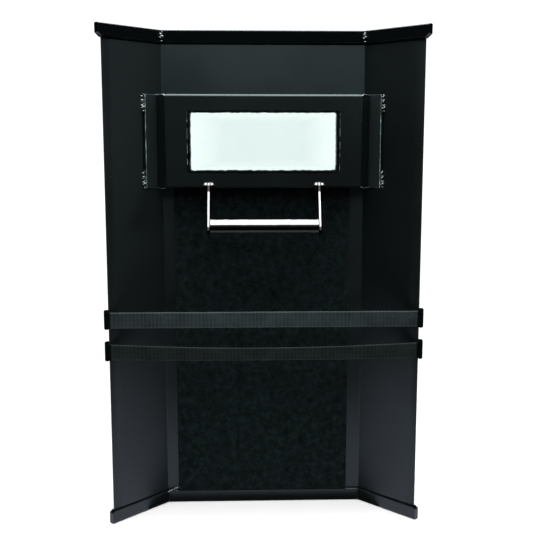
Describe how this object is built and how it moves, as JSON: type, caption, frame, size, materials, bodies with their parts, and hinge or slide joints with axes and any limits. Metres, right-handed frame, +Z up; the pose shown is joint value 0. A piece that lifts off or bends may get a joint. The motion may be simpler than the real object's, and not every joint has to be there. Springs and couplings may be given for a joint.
{
  "type": "hand-held protective shield with viewport",
  "caption": "Black folded metal hand shield with a glazed viewport box, swinging tube handle, felt arm pad and webbing straps.",
  "frame": {"origin": "centre of the bounding box in x and y, at the level of the bottom rail's underside", "axes": "+X to the user's right, +Y towards the strike side, +Z up; the user looks along +Y"},
  "size_m": [0.58, 0.1078, 0.9],
  "materials": {
    "satin_black": "satin powder coat",
    "weld_black": "glossier paint over weld beads",
    "stainless": "polished stainless steel",
    "armour_glass": "clear laminated glass with a pale green tint",
    "clear_liner": "clear polycarbonate",
    "black_rubber": "matte rubber and sealant",
    "black_felt": "looped pile felt",
    "black_webbing": "woven ribbed webbing",
    "black_plastic": "moulded acetal"
  },
  "bodies": {
    "shield": {"shield_plate": "satin_black", "top_rail_left": "satin_black", "top_rail_centre": "satin_black", "top_rail_right": "satin_black", "bottom_rail_left": "satin_black", "bottom_rail_centre": "satin_black", "bottom_rail_right": "satin_black", "rail_weld_top_left": "weld_black", "rail_weld_top_right": "weld_black", "rail_weld_bottom_left": "weld_black", "rail_weld_bottom_right": "weld_black", "viewport_pan": "satin_black", "pan_weld_top_left": "weld_black", "pan_weld_top_right": "weld_black", "pan_weld_bottom_left": "weld_black", "pan_weld_bottom_right": "weld_black", "window_rear_gasket": "black_rubber", "window_spall_liner": "clear_liner", "window_strike_glass": "armour_glass", "window_front_gasket": "black_rubber", "window_channel_top": "satin_black", "window_channel_left": "satin_black", "window_channel_bottom": "satin_black", "window_channel_right": "satin_black", "handle_lug_left": "stainless", "handle_pivot_pin_left": "stainless", "handle_lug_right": "stainless", "handle_pivot_pin_right": "stainless", "arm_pad_backing": "black_rubber", "arm_pad": "black_felt"},
    "handle": {"handle_grip_tube": "stainless", "handle_grip_rod": "stainless", "handle_arm_left": "stainless", "handle_arm_right": "stainless", "grip_end_disc_left": "stainless", "grip_end_disc_right": "stainless"},
    "upper_strap": {"upper_strap_front_webbing": "black_webbing", "upper_strap_rear_webbing": "black_webbing", "upper_strap_slide": "black_plastic"},
    "lower_strap": {"lower_strap_front_webbing": "black_webbing", "lower_strap_rear_webbing": "black_webbing", "lower_strap_slide": "black_plastic"}
  },
  "joints": [
    {"name": "handle_swing", "type": "hinge", "parent": "shield", "child": "handle", "pos_m": [0, -0.0041, 0.6205], "axis": [-1, 0, 0], "range_deg": [-22, 153]},
    {"name": "upper_strap_shift", "type": "slide", "parent": "shield", "child": "upper_strap", "axis": [0, 0, 1], "range_m": [-0.009, 0.12]},
    {"name": "lower_strap_shift", "type": "slide", "parent": "shield", "child": "lower_strap", "axis": [0, 0, 1], "range_m": [-0.25, 0.009]}
  ]
}
